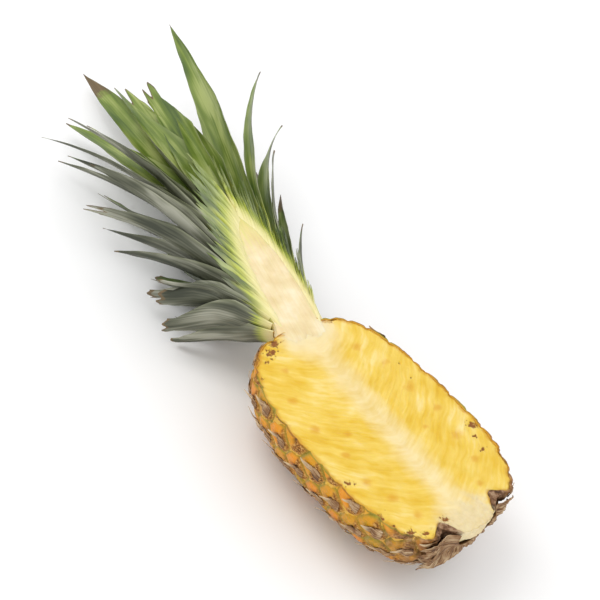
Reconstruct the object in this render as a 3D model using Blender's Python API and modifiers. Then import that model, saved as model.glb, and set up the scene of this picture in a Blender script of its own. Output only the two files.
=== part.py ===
"""Half a pineapple with half of its crown, cut lengthwise and lying on its rind.

The frame: the fruit's long axis runs along X with the crown towards -X, the cut face
is level and looks up (+Z), and the rind rests on Z = 0 on one small flat spot, whose
centre is the origin. All lengths are metres.
"""
import math

import bmesh
import bpy
import numpy as np

# Fruit body: a barrel whose outline is a superellipse, fuller than an ellipse.
HALF_LENGTH = 0.0813
RADIUS = 0.0570
FULLNESS = 2.9
TAPER = 0.04                 # share by which the base end is wider than the crown end
CUT_HEIGHT = 0.0560          # the cut face, and the fruit's axis, above the surface
BODY_RINGS = 50
BODY_SEGMENTS = 72

# Eyes: one fruitlet each, laid out by the golden angle along the axis.
EYE_COUNT = 190
EYE_WIDTH = 0.0190
EYE_RELIEF = 0.0014
GOLDEN_ANGLE = math.radians(137.508)
REST_CALM = 0.016            # radius round the rest spot where the eyes are pressed flat

# Stub of the fruit stalk in the middle of the base, in a shallow ring.
STUB_RADIUS = 0.0150
STUB_RISE = 0.0015
RING_RADIUS = 0.0240
RING_WIDTH = 0.0075
RING_DEPTH = 0.0060
BASE_SHARE = 0.7             # the stub and its ring belong to X beyond this share of the length

# Crown stem: leans away from the fruit's axis within the cut plane.
STEM_FOOT = (-0.0740, 0.0090)
STEM_LEAN = math.radians(18.0)
STEM_LENGTH = 0.0880
STEM_RADIUS = 0.0160
STEM_RINGS = 22
STEM_SEGMENTS = 28
STEM_SEAT_GAP = 0.0009

GAP = 0.0004                 # clearance between neighbouring solids
LEAF_THICKNESS = 0.0006
LEAF_TIP_WIDTH = 0.0010
LEAF_ROWS = 12
LEAF_COLUMNS = 3
LEAF_WRAP = 0.75             # most that a blade wraps round the stem to each side, radians
LEAF_SET_OFF = 0.0007        # a flat facet of a blade cuts this much inside its circle
FREE_DEPTH = 0.0300          # below the cut face, leaves hang freely down to this depth
FLOOR_CLEARANCE = 0.0008

# One row a leaf, lowest on the stem first. Turn round the stem in degrees (180 is the
# near side at the cut face, 270 straight down, 360 the far side), height of the foot,
# length and width in millimetres, tilt off the stem at the foot and at the tip in degrees.
LEAVES = (
    (228, 6, 66, 30, 44, 66),
    (206, 9, 62, 30, 42, 68),
    (322, 10, 38, 16, 34, 56),
    (244, 11, 80, 30, 38, 60),
    (192, 13, 66, 32, 34, 56),
    (316, 13, 62, 20, 36, 60),
    (268, 15, 88, 24, 36, 62),
    (184, 16, 66, 22, 34, 56),
    (218, 18, 76, 30, 31, 54),
    (292, 19, 88, 22, 32, 58),
    (232, 22, 88, 28, 27, 50),
    (203, 25, 98, 20, 23, 56),
    (256, 27, 116, 20, 26, 52),
    (354, 28, 62, 9, 16, 40),
    (190, 29, 112, 16, 18, 58),
    (306, 30, 104, 18, 24, 50),
    (220, 32, 118, 20, 19, 46),
    (282, 33, 124, 20, 22, 48),
    (208, 36, 126, 22, 15, 50),
    (346, 38, 82, 11, 14, 34),
    (186, 39, 124, 14, 14, 46),
    (236, 40, 138, 22, 15, 40),
    (296, 41, 128, 18, 18, 44),
    (270, 44, 144, 20, 15, 38),
    (194, 45, 140, 15, 12, 44),
    (332, 45, 112, 16, 14, 34),
    (356, 48, 104, 12, 12, 36),
    (218, 49, 154, 18, 12, 42),
    (204, 53, 162, 18, 10, 44),
    (346, 54, 138, 13, 13, 50),
    (190, 56, 148, 16, 9, 36),
    (314, 58, 130, 18, 11, 24),
    (230, 60, 168, 32, 8, 32),
    (352, 64, 174, 12, 12, 44),
    (212, 65, 140, 18, 7, 30),
    (252, 67, 196, 34, 7, 18),
    (340, 69, 196, 30, 13, 3),
    (263, 72, 164, 36, 6, 12),
    (286, 76, 150, 28, 5, 9),
    (308, 80, 118, 24, 5, 9),
)

# Dry bracts folded over the base: turn round the fruit's axis in degrees.
BRACT_TURNS = (197, 229, 262, 296, 334)
BRACT_START = math.radians(9.0)      # angle off the base pole where a bract is attached
BRACT_REACH = math.radians(27.0)
BRACT_WIDTH = 0.0200
BRACT_HALF_TURN = math.radians(14.0)
BRACT_LIFT = 0.0015
BRACT_CURL = 0.0025
BRACT_THICKNESS = 0.0008
BRACT_ROWS = 10
BRACT_COLUMNS = 4

FINISHES = {
    "flesh": ((0.86, 0.63, 0.13), 0.35),
    "stem_pith": ((0.83, 0.74, 0.48), 0.50),
    "leaf": ((0.11, 0.17, 0.07), 0.55),
    "dry_bract": ((0.20, 0.13, 0.09), 0.85),
}


def clear_scene():
    """Removes every object, so that the script starts from nothing."""
    for thing in list(bpy.data.objects):
        bpy.data.objects.remove(thing, do_unlink=True)


def finish(name):
    """The Principled material of one finish, made once."""
    made = bpy.data.materials.get(name)
    if made is not None:
        return made
    colour, roughness = FINISHES[name]
    made = bpy.data.materials.new(name)
    made.use_nodes = True
    shader = made.node_tree.nodes["Principled BSDF"]
    shader.inputs["Base Color"].default_value = (*colour, 1.0)
    shader.inputs["Roughness"].default_value = roughness
    shader.inputs["Metallic"].default_value = 0.0
    return made


def new_object(name, mesh_edit, finish_name, collection):
    """An object whose mesh is the finished mesh_edit, in its collection and finish."""
    mesh = bpy.data.meshes.new(name)
    mesh_edit.to_mesh(mesh)
    mesh_edit.free()
    mesh.materials.append(finish(finish_name))
    mesh.shade_smooth()
    made = bpy.data.objects.new(name, mesh)
    collection.objects.link(made)
    return made


def reshape(mesh_edit, rule):
    """Moves every vertex to rule(points), where points is an array of rows X, Y, Z."""
    points = np.array([vertex.co[:] for vertex in mesh_edit.verts])
    for vertex, place in zip(mesh_edit.verts, rule(points)):
        vertex.co = place


def slice_flat(mesh_edit, height, keep_above):
    """Cuts the closed mesh by the level plane at height and closes the cut with a flat face."""
    side = -1.0 if keep_above else 1.0
    everything = list(mesh_edit.verts) + list(mesh_edit.edges) + list(mesh_edit.faces)
    cut = bmesh.ops.bisect_plane(
        mesh_edit,
        geom=everything,
        dist=1e-7,
        plane_co=(0.0, 0.0, height),
        plane_no=(0.0, 0.0, side),
        clear_outer=True,
    )
    rim = [part for part in cut["geom_cut"] if isinstance(part, bmesh.types.BMEdge)]
    bmesh.ops.edgeloop_fill(mesh_edit, edges=rim)
    bmesh.ops.recalc_face_normals(mesh_edit, faces=mesh_edit.faces)


def barrel(angle, turn, lift=0.0):
    """Points of the fruit's smooth skin, moved out by lift.

    angle is 0 at the base pole and pi at the crown pole. The outline is the superellipse
    x = L cos^(2/p), r = R sin^(2/p), widened towards the base, and turn runs round X.
    """
    cosine = np.cos(angle)
    along = np.sign(cosine) * np.abs(cosine) ** (2.0 / FULLNESS)
    across = np.abs(np.sin(angle)) ** (2.0 / FULLNESS) * (1.0 + TAPER * along)
    x = (HALF_LENGTH + lift) * along
    r = (RADIUS + lift) * across
    return np.stack([x, r * np.cos(turn), CUT_HEIGHT + r * np.sin(turn)], axis=-1)


def base_shift(x, r):
    """How far the base end moves along X: out over the stub, in along the ring round it."""
    stub = STUB_RISE * np.exp(-((r / STUB_RADIUS) ** 4))
    ring = RING_DEPTH * np.exp(-(((r - RING_RADIUS) / RING_WIDTH) ** 2))
    return np.where(x > BASE_SHARE * HALF_LENGTH, stub - ring, 0.0)


def eye_relief(x, turn, r):
    """Height of the fruitlets' domes over the skin: 1 at an eye's centre, 0 in the seams."""
    number = np.arange(EYE_COUNT)
    eye_x = HALF_LENGTH * (2.0 * (number + 0.5) / EYE_COUNT - 1.0)
    eye_turn = number * GOLDEN_ANGLE
    around = np.angle(np.exp(1j * (turn[:, None] - eye_turn))) * r[:, None]
    distance = np.hypot(x[:, None] - eye_x, around).min(axis=1)
    return np.clip(1.0 - (distance / (0.58 * EYE_WIDTH)) ** 2, 0.0, 1.0)


def fruit_rule(points):
    """The unit sphere's points carried to the fruit: barrel, eyes, stub ring and rest spot."""
    angle = np.arccos(np.clip(points[:, 2], -1.0, 1.0))
    turn = np.arctan2(points[:, 1], points[:, 0])
    skin = barrel(angle, turn)
    r = np.hypot(skin[:, 1], skin[:, 2] - CUT_HEIGHT)
    relief = eye_relief(skin[:, 0], turn, r)
    calm = np.clip((np.hypot(skin[:, 0], skin[:, 1]) - REST_CALM) / REST_CALM, 0.0, 1.0)
    below = skin[:, 2] < CUT_HEIGHT
    relief = np.where(below, 1.0 - (1.0 - relief) * calm, relief)
    polar = np.clip(r / (0.6 * RADIUS), 0.0, 1.0)
    sink = EYE_RELIEF * (1.0 - relief) * polar
    shrink = 1.0 - sink / np.maximum(r, sink + 1e-6)
    skin[:, 1] *= shrink
    skin[:, 2] = CUT_HEIGHT + (skin[:, 2] - CUT_HEIGHT) * shrink
    skin[:, 0] += base_shift(skin[:, 0], r)
    return skin


def build_fruit(collection):
    """Flesh, core and rind are one solid: a closed barrel halved by the knife, base to crown."""
    body = bmesh.new()
    bmesh.ops.create_uvsphere(
        body, u_segments=BODY_SEGMENTS, v_segments=BODY_RINGS, radius=1.0
    )
    reshape(body, fruit_rule)
    slice_flat(body, CUT_HEIGHT, keep_above=False)
    slice_flat(body, 0.0, keep_above=True)
    return new_object("fruit_half", body, "flesh", collection)


def stem_radius(height):
    """Radius of the crown stem at a height above its foot: full for long, then pointed."""
    share = np.clip(np.asarray(height) / STEM_LENGTH, 0.0, 1.0)
    return STEM_RADIUS * (1.0 - share**3) ** 0.75


def from_stem(height, out, turn):
    """Points given by height along the stem, distance out from it and turn round it."""
    side = out * np.cos(turn)
    x = STEM_FOOT[0] - height * math.cos(STEM_LEAN) + side * math.sin(STEM_LEAN)
    y = STEM_FOOT[1] + height * math.sin(STEM_LEAN) + side * math.cos(STEM_LEAN)
    return np.stack([x, y, CUT_HEIGHT + out * np.sin(turn)], axis=-1)


def crown_end(points):
    """X of the fruit's crown end at each point's distance from the fruit's axis."""
    r = np.hypot(points[:, 1], points[:, 2] - CUT_HEIGHT)
    share = np.clip(r / (RADIUS * (1.0 - TAPER)), 0.0, 1.0)
    return -HALF_LENGTH * (1.0 - share**FULLNESS) ** (1.0 / FULLNESS)


def stem_rule(points):
    """The unit sphere's points carried to the stem, whose foot is seated on the fruit."""
    height = STEM_LENGTH * (1.0 - points[:, 2]) / 2.0
    turn = np.arctan2(points[:, 1], points[:, 0])
    on_axis = np.hypot(points[:, 0], points[:, 1]) < 1e-6
    out = np.where(on_axis, 0.0, stem_radius(height))
    placed = from_stem(height, out, turn)
    placed[:, 0] = np.minimum(placed[:, 0], crown_end(placed) - STEM_SEAT_GAP)
    return placed


def build_stem(collection):
    """The halved crown stem, a solid taper that stands on the crown end of the fruit."""
    stem = bmesh.new()
    bmesh.ops.create_uvsphere(
        stem, u_segments=STEM_SEGMENTS, v_segments=STEM_RINGS, radius=1.0
    )
    reshape(stem, stem_rule)
    slice_flat(stem, CUT_HEIGHT, keep_above=False)
    return new_object("crown_stem", stem, "stem_pith", collection)


def settle(z):
    """Leaves bend along the surface: below FREE_DEPTH their depth follows a tanh to the floor."""
    room = CUT_HEIGHT - FLOOR_CLEARANCE - FREE_DEPTH
    extra = np.maximum(CUT_HEIGHT - z - FREE_DEPTH, 0.0)
    pressed = CUT_HEIGHT - FREE_DEPTH - room * np.tanh(extra / room)
    return np.where(extra > 0.0, pressed, z)


def leaf_rule(points, leaf):
    """A unit grid's points carried to one leaf.

    The midrib starts on the stem and its tilt grows from foot to tip with the power 1.3 of
    the length. The blade wraps round the stem at the midrib's distance from it, so leaves
    with higher feet lie inside lower ones, and the knife's plane trims it on both sides.
    """
    turn_deg, foot_mm, length_mm, width_mm, foot_tilt, tip_tilt = leaf
    foot = foot_mm / 1000.0
    length = length_mm / 1000.0
    fine = np.linspace(0.0, 1.0, 200)
    tilt = np.radians(foot_tilt) + np.radians(tip_tilt - foot_tilt) * fine**1.3
    step = length / (len(fine) - 1)
    climb = foot + step * np.concatenate([[0.0], np.cumsum(np.cos(tilt[1:]))])
    start = stem_radius(foot) + GAP + LEAF_THICKNESS + LEAF_SET_OFF
    reach = start + step * np.concatenate([[0.0], np.cumsum(np.sin(tilt[1:]))])

    share = np.clip(points[:, 1] + 0.5, 0.0, 1.0)
    across = np.clip(points[:, 0] + 0.5, 0.0, 1.0)
    height = np.interp(share, fine, climb)
    out = np.interp(share, fine, reach)
    belly = 0.8 + 0.2 * np.sin(np.pi * np.minimum(share / 0.8, 1.0))
    width = width_mm / 1000.0 * belly * (1.0 - share**2.4) ** 0.85
    half_turn = np.minimum(np.maximum(width, LEAF_TIP_WIDTH) / 2.0 / out, LEAF_WRAP)
    margin = (GAP + LEAF_THICKNESS) / out
    low = np.maximum(math.radians(turn_deg) - half_turn, math.pi + margin)
    high = np.minimum(math.radians(turn_deg) + half_turn, 2.0 * math.pi - margin)
    placed = from_stem(height, out, low + (high - low) * across)
    placed[:, 2] = settle(placed[:, 2])
    return placed


def thin_sheet(name, rows, columns, rule, thickness, finish_name, collection):
    """A grid laid out by a rule and given an even thickness by Solidify."""
    sheet = bmesh.new()
    bmesh.ops.create_grid(sheet, x_segments=columns, y_segments=rows, size=0.5)
    reshape(sheet, rule)
    made = new_object(name, sheet, finish_name, collection)
    wall = made.modifiers.new("thickness", "SOLIDIFY")
    wall.thickness = thickness
    wall.offset = 0.0
    return made


def build_leaves(collection):
    """Every leaf of the half crown, each one a thin blade of its own."""
    for number, leaf in enumerate(LEAVES, start=1):
        thin_sheet(
            f"leaf_{number:02d}",
            LEAF_ROWS,
            LEAF_COLUMNS,
            lambda points, leaf=leaf: leaf_rule(points, leaf),
            LEAF_THICKNESS,
            "leaf",
            collection,
        )


def bract_rule(points, turn_deg):
    """A unit grid's points carried to one base bract, which curls away from the rind."""
    share = points[:, 1] + 0.5
    angle = BRACT_START + BRACT_REACH * share
    lift = BRACT_LIFT + BRACT_CURL * share**2
    middle = barrel(angle, np.full_like(angle, math.radians(turn_deg)), lift)
    r = np.hypot(middle[:, 1], middle[:, 2] - CUT_HEIGHT)
    width = BRACT_WIDTH * (0.45 + 0.55 * np.sin(np.pi * (0.15 + 0.80 * share)))
    half_turn = np.minimum(0.5 * width / r, BRACT_HALF_TURN)
    turn = math.radians(turn_deg) + 2.0 * points[:, 0] * half_turn
    margin = BRACT_THICKNESS / r
    turn = np.clip(turn, math.pi + margin, 2.0 * math.pi - margin)
    placed = barrel(angle, turn, lift)
    placed[:, 0] += base_shift(placed[:, 0], r)
    return placed


def build_bracts(collection):
    """The papery bracts left round the stalk's stub, folded back over the base."""
    for number, turn_deg in enumerate(BRACT_TURNS, start=1):
        thin_sheet(
            f"base_bract_{number}",
            BRACT_ROWS,
            BRACT_COLUMNS,
            lambda points, turn_deg=turn_deg: bract_rule(points, turn_deg),
            BRACT_THICKNESS,
            "dry_bract",
            collection,
        )


def build():
    clear_scene()
    collection = bpy.data.collections.new("half_pineapple")
    bpy.context.scene.collection.children.link(collection)
    build_fruit(collection)
    build_stem(collection)
    build_leaves(collection)
    build_bracts(collection)


build()
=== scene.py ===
"""Looks of half a pineapple with half of its crown, lying on its rind with the cut face up.

The frame is the CAD's: the fruit's long axis along X with the crown towards -X, the cut face
level at CUT_HEIGHT and looking up, the surface at Z = 0. All lengths are metres.
"""

import math

import bmesh
import bpy
import numpy as np
from mathutils import Matrix, Vector


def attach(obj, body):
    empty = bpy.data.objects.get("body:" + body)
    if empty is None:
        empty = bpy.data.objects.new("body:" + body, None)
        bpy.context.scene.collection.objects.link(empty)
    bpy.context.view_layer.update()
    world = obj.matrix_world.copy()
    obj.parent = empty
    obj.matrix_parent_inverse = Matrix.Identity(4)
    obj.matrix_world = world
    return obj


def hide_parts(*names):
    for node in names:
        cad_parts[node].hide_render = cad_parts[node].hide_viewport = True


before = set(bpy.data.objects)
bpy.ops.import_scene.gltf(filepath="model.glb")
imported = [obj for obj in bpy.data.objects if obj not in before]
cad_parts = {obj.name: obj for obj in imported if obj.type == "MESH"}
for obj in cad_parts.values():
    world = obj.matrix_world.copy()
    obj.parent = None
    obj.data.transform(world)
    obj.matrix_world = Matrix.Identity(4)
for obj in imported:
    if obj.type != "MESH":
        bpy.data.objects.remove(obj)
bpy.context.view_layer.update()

MM = 0.001

# The fruit, on the same driving dimensions as its CAD solid.
HALF_LENGTH = 81.3 * MM
RADIUS = 57.0 * MM
FULLNESS = 2.9               # power of the superellipse that is the fruit's outline
TAPER = 0.04                 # share by which the base is wider and the crown end narrower
CUT_HEIGHT = 56.0 * MM
EYE_COUNT = 190
EYE_WIDTH = 19.0 * MM
GOLDEN_ANGLE = math.radians(137.508)
STUB_RADIUS = 15.0 * MM      # the stalk's stub, which stands out at the base
STUB_RISE = 1.5 * MM
RING_RADIUS = 24.0 * MM      # the sunken ring of dried husks round it
RING_WIDTH = 7.5 * MM
RING_DEPTH = 6.0 * MM
FLOOR_SKIN = 0.1 * MM        # lowest that any surface reaches, just clear of the floor

# The crown stem and its leaves.
STEM_FOOT = (-74.0 * MM, 9.0 * MM)
STEM_LEAN = math.radians(18.0)
STEM_LENGTH = 88.0 * MM
STEM_RADIUS = 16.0 * MM
LEAF_WRAP = 0.75             # most that a blade wraps round the stem to each side, radians
LEAF_START = 1.7 * MM        # how far off the stem's side a midrib starts
LEAF_TO_STEM = 0.6 * MM      # least distance of a blade from the stem
LEAF_TO_CUT = 0.7 * MM       # least distance of a blade's middle from the cut face
BLUNT_TIP = 0.42             # width of a torn tip and of a whole one, as shares of the blade's
SHARP_TIP = 0.012
FREE_DEPTH = 30.0 * MM       # how far below the cut face blades first feel the floor
LEAF_CLEARANCE = 0.8 * MM    # and how far above the floor they stay
STEM_DIP = 9.0 * MM          # the sliced stem's foot dips this far into the core
STEM_REACH = 104.0 * MM      # and it runs up between the leaf bases to this height

# One row a leaf, lowest on the stem first. Turn round the stem in degrees (180 is the near
# side at the cut face, 270 straight down, 360 the far side), height of the foot, length and
# width in millimetres, tilt off the stem at the foot and at the tip in degrees, then the
# depth of the tears in its end and the length of its brown, dried tip in millimetres.
LEAVES = (
    (228, 6, 66, 30, 44, 66, 2, 2),
    (206, 9, 62, 30, 42, 68, 3, 2),
    (322, 10, 38, 16, 34, 56, 0, 6),
    (244, 11, 80, 30, 38, 60, 2, 3),
    (192, 13, 66, 32, 34, 56, 3, 3),
    (316, 13, 62, 20, 36, 60, 0, 7),
    (268, 15, 88, 24, 36, 62, 0, 10),
    (184, 16, 66, 22, 34, 56, 3, 2),
    (218, 18, 76, 30, 31, 54, 3, 4),
    (292, 19, 88, 22, 32, 58, 0, 10),
    (232, 22, 88, 28, 27, 50, 3, 3),
    (203, 25, 98, 20, 23, 56, 0, 4),
    (256, 27, 116, 20, 26, 52, 0, 8),
    (354, 28, 62, 9, 16, 40, 0, 9),
    (190, 29, 112, 16, 18, 58, 0, 5),
    (306, 30, 104, 18, 24, 50, 0, 8),
    (220, 32, 118, 20, 19, 46, 0, 5),
    (282, 33, 124, 20, 22, 48, 0, 8),
    (208, 36, 126, 22, 15, 50, 14, 3),
    (346, 38, 82, 11, 14, 34, 0, 24),
    (186, 39, 124, 14, 14, 46, 0, 4),
    (236, 40, 138, 22, 15, 40, 12, 3),
    (296, 41, 128, 18, 18, 44, 0, 8),
    (270, 44, 144, 20, 15, 38, 0, 8),
    (194, 45, 140, 15, 12, 44, 0, 4),
    (332, 45, 112, 16, 14, 34, 0, 14),
    (356, 48, 104, 12, 12, 36, 0, 6),
    (218, 49, 154, 18, 12, 42, 0, 5),
    (204, 53, 162, 18, 10, 44, 0, 4),
    (346, 54, 138, 13, 13, 50, 0, 4),
    (190, 56, 148, 16, 9, 36, 0, 5),
    (314, 58, 130, 18, 11, 24, 0, 6),
    (230, 60, 168, 32, 8, 32, 0, 5),
    (352, 64, 174, 12, 12, 44, 0, 4),
    (212, 65, 140, 18, 7, 30, 0, 5),
    (252, 67, 196, 34, 7, 18, 0, 34),
    (340, 69, 196, 30, 13, 3, 0, 4),
    (263, 72, 164, 36, 6, 12, 18, 3),
    (286, 76, 150, 28, 5, 9, 12, 4),
    (308, 80, 118, 24, 5, 9, 0, 4),
)

# Some blades are rolled about their own midrib, in radians at the tip; the others a little.
ROLLS = {33: -0.7, 36: -0.8, 38: -0.2, 39: -0.6, 37: 0.0, 40: 0.1, 34: 0.2, 30: 0.2}
# How far the ends of the lowest, blunt blades fold down, in millimetres.
DROOPS = {1: 5.0, 2: 11.0, 4: 6.0, 5: 13.0, 8: 14.0, 9: 5.0}

BRACT_TURNS = (197, 229, 262, 296, 334)
BRACT_START = math.radians(9.0)
BRACT_REACH = math.radians(27.0)
BRACT_WIDTH = 20.0 * MM

# The pale core runs from the stalk's stub to the crown stem, a little across the axis.
CORE_OFFSET = 2.25 * MM
CORE_SLOPE = -0.0964
# Brown pits in the cut face, where the knife opened a dried flower: X, Y and radius in mm.
PITS = (
    (27.7, 51.6, 4.0), (34.4, 46.6, 1.6), (43.3, 43.6, 2.0), (19.0, -50.2, 2.2),
    (21.5, -46.5, 0.9), (-27.4, 44.3, 1.0), (-16.5, 43.3, 0.8), (45.1, -51.2, 3.8),
    (62.5, -42.5, 3.2), (67.0, -34.5, 2.8), (-76.0, -15.5, 4.2), (-72.0, -22.5, 4.0),
    (-68.0, -29.5, 2.2), (-77.0, 24.5, 3.6), (-73.0, 31.5, 3.4), (66.5, -17.0, 3.0),
    (54.0, -48.5, 1.4), (-60.5, -41.5, 1.2),
)

# Deeper yellow spots where a fruitlet's seed chamber lies close under the cut: X, Y, radius.
BLUSHES = (
    (28.0, 36.0, 5.0), (8.0, 40.5, 3.5), (-12.0, 37.0, 4.5), (-32.0, 36.0, 3.6),
    (46.0, 33.0, 4.0), (-50.0, 30.0, 4.0), (60.0, 22.0, 3.2), (-40.0, -36.0, 4.0),
    (-18.0, -40.0, 4.5), (4.0, -36.0, 3.4), (24.0, -40.0, 4.6), (40.0, -34.0, 5.0),
    (56.0, -30.0, 4.4), (-58.0, -24.0, 3.6), (14.0, 24.0, 3.0), (-6.0, -24.0, 3.2),
)


# ---------------------------------------------------------------- arithmetic of the shapes


def smooth(low, high, value):
    """0 below low and 1 above high, joined by the cubic 3t^2 - 2t^3; low may exceed high."""
    t = np.clip((value - low) / (high - low), 0.0, 1.0)
    return t * t * (3.0 - 2.0 * t)


def bell(value, width):
    """The bell curve exp(-(value / width)^2)."""
    return np.exp(-((value / width) ** 2))


def ripple(points, size, seed, octaves=3):
    """Smooth unevenness from about -1 to 1.

    Each octave is the sum of eight sine waves in fixed directions with lengths near size,
    and the next octave is half as long and half as high.
    """
    draw = np.random.default_rng(seed)
    total = np.zeros(points.shape[:-1])
    for octave in range(octaves):
        heading = draw.normal(size=(8, 3))
        heading /= np.linalg.norm(heading, axis=1, keepdims=True)
        heading *= 2.0 * math.pi * 2.0**octave / size * draw.uniform(0.7, 1.3, (8, 1))
        phase = draw.uniform(0.0, 2.0 * math.pi, 8)
        total += np.sin(points @ heading.T + phase).sum(axis=-1) / 3.0 * 0.5**octave
    return np.clip(total / 1.5, -1.0, 1.0)


def barrel(angle, turn, lift=0.0):
    """Points of the fruit's smooth skin, moved out by lift.

    angle is 0 at the base pole and pi at the crown pole. The outline is the superellipse
    x = L cos^(2/p), r = R sin^(2/p), widened towards the base, and turn runs round X.
    """
    cosine = np.cos(angle)
    along = np.sign(cosine) * np.abs(cosine) ** (2.0 / FULLNESS)
    across = np.abs(np.sin(angle)) ** (2.0 / FULLNESS) * (1.0 + TAPER * along)
    x = (HALF_LENGTH + lift) * along
    r = (RADIUS + lift) * across
    x, r, turn = np.broadcast_arrays(x, r, turn)
    return np.stack([x, r * np.cos(turn), CUT_HEIGHT + r * np.sin(turn)], axis=-1)


def base_shift(points):
    """The base end moved along X: out over the stub, in along the ring round it."""
    r = np.hypot(points[..., 1], points[..., 2] - CUT_HEIGHT)
    push = STUB_RISE * np.exp(-((r / STUB_RADIUS) ** 4))
    push -= RING_DEPTH * bell(r - RING_RADIUS, RING_WIDTH)
    moved = points.copy()
    moved[..., 0] += push * smooth(0.62 * HALF_LENGTH, 0.78 * HALF_LENGTH, points[..., 0])
    return moved


FINE_ANGLE = np.linspace(0.0, math.pi, 6001)
FINE_OUTLINE = barrel(FINE_ANGLE, 0.0)
FINE_ARC = np.concatenate(
    [[0.0], np.cumsum(np.linalg.norm(np.diff(FINE_OUTLINE, axis=0), axis=1))]
)

EYE_NUMBER = np.arange(EYE_COUNT)
EYE_SHARE = 2.0 * (EYE_NUMBER + 0.5) / EYE_COUNT - 1.0
EYE_ANGLE = np.arccos(np.sign(EYE_SHARE) * np.abs(EYE_SHARE) ** (FULLNESS / 2.0))
EYE_TURN = EYE_NUMBER * GOLDEN_ANGLE
EYE_CENTRE = barrel(EYE_ANGLE, EYE_TURN)
EYE_ARC = np.interp(EYE_ANGLE, FINE_ANGLE, FINE_ARC)


def eyes(angle, turn):
    """How each point of the skin lies in the pattern of eyes, which are set a golden angle apart.

    Gives the nearest eye's number, the distance to its centre, how much farther the next
    eye is (0 in a seam), and the offsets from the centre towards the crown and round it.
    """
    angle, turn = np.broadcast_arrays(angle, turn)
    surface = barrel(angle, turn)
    flat = surface.reshape(-1, 3)
    square = ((flat**2).sum(axis=1)[:, None] + (EYE_CENTRE**2).sum(axis=1)
              - 2.0 * flat @ EYE_CENTRE.T)
    distance = np.sqrt(np.maximum(square, 0.0))
    nearest = distance.argmin(axis=1)
    two = np.partition(distance, 1, axis=1)[:, :2]
    number = nearest.reshape(angle.shape)
    close = two[:, 0].reshape(angle.shape)
    lead = (two[:, 1] - two[:, 0]).reshape(angle.shape)
    r = np.hypot(surface[..., 1], surface[..., 2] - CUT_HEIGHT)
    towards_crown = np.interp(angle, FINE_ANGLE, FINE_ARC) - EYE_ARC[number]
    around = np.angle(np.exp(1j * (turn - EYE_TURN[number]))) * r
    return number, close, lead, towards_crown, around


def skin_height(angle, turn):
    """Height of the real skin over the smooth barrel.

    Each eye is a low dome that falls off with the square of the distance, the seams between
    eyes are bell-shaped grooves, and a slit-like pit opens in the middle of each eye.
    """
    number, close, lead, ahead, around = eyes(angle, turn)
    dome = 1.0 - np.clip(close / (0.62 * EYE_WIDTH), 0.0, 1.0) ** 2
    height = 1.7 * MM * (dome - 1.0)
    height -= 0.9 * MM * bell(lead, 1.7 * MM)
    height -= 1.5 * MM * np.exp(-((ahead / (1.5 * MM)) ** 2) - (around / (2.6 * MM)) ** 2)
    surface = barrel(angle, turn)
    papery = smooth(1.0 * MM, -2.5 * MM, ahead) * smooth(1.0 * MM, 4.0 * MM, lead)
    height += 0.32 * MM * papery * ripple(surface, 3.0 * MM, 7)
    height += 0.15 * MM * ripple(surface, 4.5 * MM, 11)
    return height


def stem_radius(height):
    """Radius of the crown stem at a height above its foot: full for long, then pointed."""
    share = np.clip(np.asarray(height) / STEM_LENGTH, 0.0, 1.0)
    return STEM_RADIUS * (1.0 - share**3) ** 0.75


def from_stem(height, out, turn):
    """Points given by height along the stem, distance out from it and turn round it."""
    height, out, turn = np.broadcast_arrays(height, out, turn)
    side = out * np.cos(turn)
    x = STEM_FOOT[0] - height * math.cos(STEM_LEAN) + side * math.sin(STEM_LEAN)
    y = STEM_FOOT[1] + height * math.sin(STEM_LEAN) + side * math.cos(STEM_LEAN)
    return np.stack([x, y, CUT_HEIGHT + out * np.sin(turn)], axis=-1)


def settle(points):
    """Leaves bend along the surface: below FREE_DEPTH their depth follows a tanh to the floor."""
    room = CUT_HEIGHT - LEAF_CLEARANCE - FREE_DEPTH
    extra = np.maximum(CUT_HEIGHT - points[..., 2] - FREE_DEPTH, 0.0)
    pressed = CUT_HEIGHT - FREE_DEPTH - room * np.tanh(extra / room)
    settled = points.copy()
    settled[..., 2] = np.where(extra > 0.0, pressed, points[..., 2])
    return settled


# ---------------------------------------------------------------- from arrays to meshes

SHARP_ANGLE = math.radians(50.0)
WELD = 0.002 * MM            # points closer than this are one point


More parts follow.
